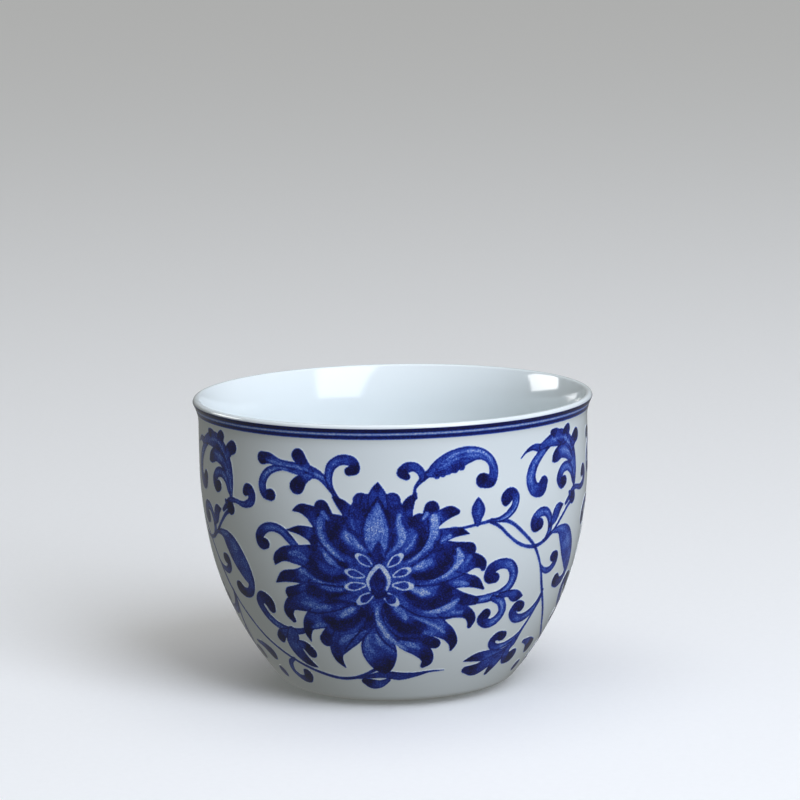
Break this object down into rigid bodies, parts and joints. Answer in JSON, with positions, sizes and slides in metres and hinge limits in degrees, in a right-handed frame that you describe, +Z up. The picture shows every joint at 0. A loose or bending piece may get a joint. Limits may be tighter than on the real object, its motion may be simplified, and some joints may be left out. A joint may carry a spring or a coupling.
{
  "type": "teacup",
  "caption": "Round porcelain teacup without a handle, with an out-turned lip, a low foot ring and a blue-and-white lotus scroll round the wall.",
  "frame": {"origin": "middle of the foot ring's resting face, on the table", "axes": "+Z up along the axis of the cup; the middle of the first lotus bloom faces -Y"},
  "size_m": [0.08, 0.08, 0.059],
  "materials": {
    "biscuit_porcelain": "bare fired porcelain, matt",
    "glazed_porcelain": "clear glaze over white porcelain, with a faint blue cast",
    "cobalt_blue": "printed cobalt blue, fired into the glaze",
    "cobalt_wash": "thin cobalt wash, fired into the glaze"
  },
  "bodies": {
    "root": {"porcelain_body": "biscuit_porcelain", "foot_ring": "biscuit_porcelain", "inner_glaze": "glazed_porcelain", "outer_glaze": "glazed_porcelain", "base_glaze": "glazed_porcelain", "rim_line_upper": "cobalt_blue", "rim_wash": "cobalt_wash", "rim_line_lower": "cobalt_blue", "lotus_transfer_1": "cobalt_blue", "lotus_transfer_2": "cobalt_blue", "lotus_transfer_3": "cobalt_blue"}
  },
  "joints": []
}
